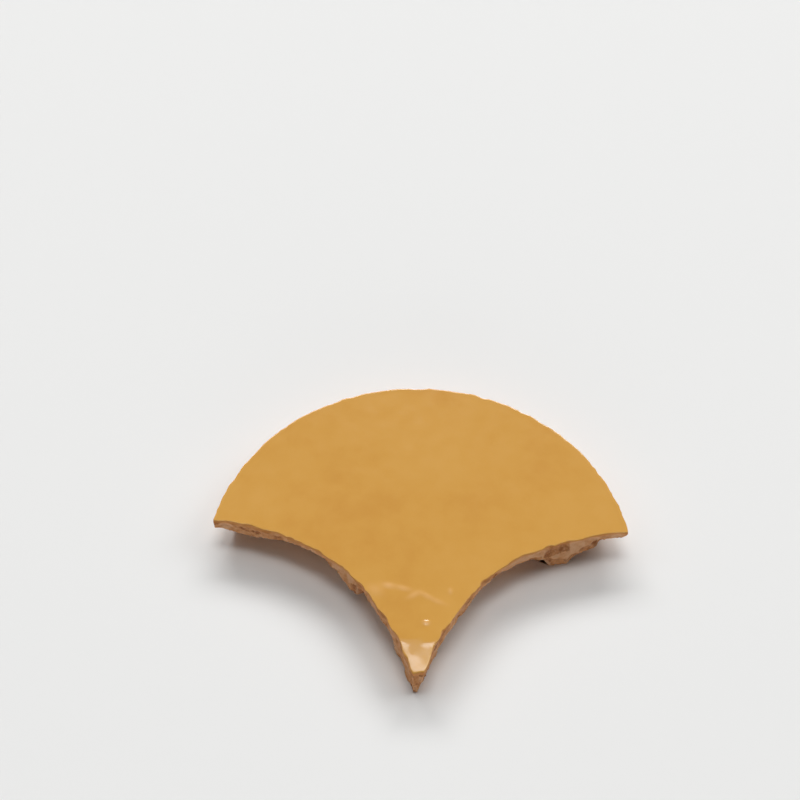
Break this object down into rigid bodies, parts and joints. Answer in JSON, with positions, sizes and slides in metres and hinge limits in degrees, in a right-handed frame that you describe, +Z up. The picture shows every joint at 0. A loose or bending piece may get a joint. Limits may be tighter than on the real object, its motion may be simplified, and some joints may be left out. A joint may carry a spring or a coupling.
{
  "type": "fish scale tile",
  "caption": "Hand-cut fish scale tile: glazed terracotta with a round rim, two concave bays and a narrow blunt tip, its flanks undercut so that glazed edges meet.",
  "frame": {"origin": "on the floor, under the middle of the tile's box", "axes": "+Z up out of the glazed face, +X across the tile, -Y towards the tip"},
  "size_m": [0.119, 0.101, 0.0115],
  "materials": {
    "glazed_terracotta": "glossy ochre glaze on the face, bare fired clay on the flanks and back"
  },
  "bodies": {
    "root": {"scale_tile": "glazed_terracotta"}
  },
  "joints": []
}
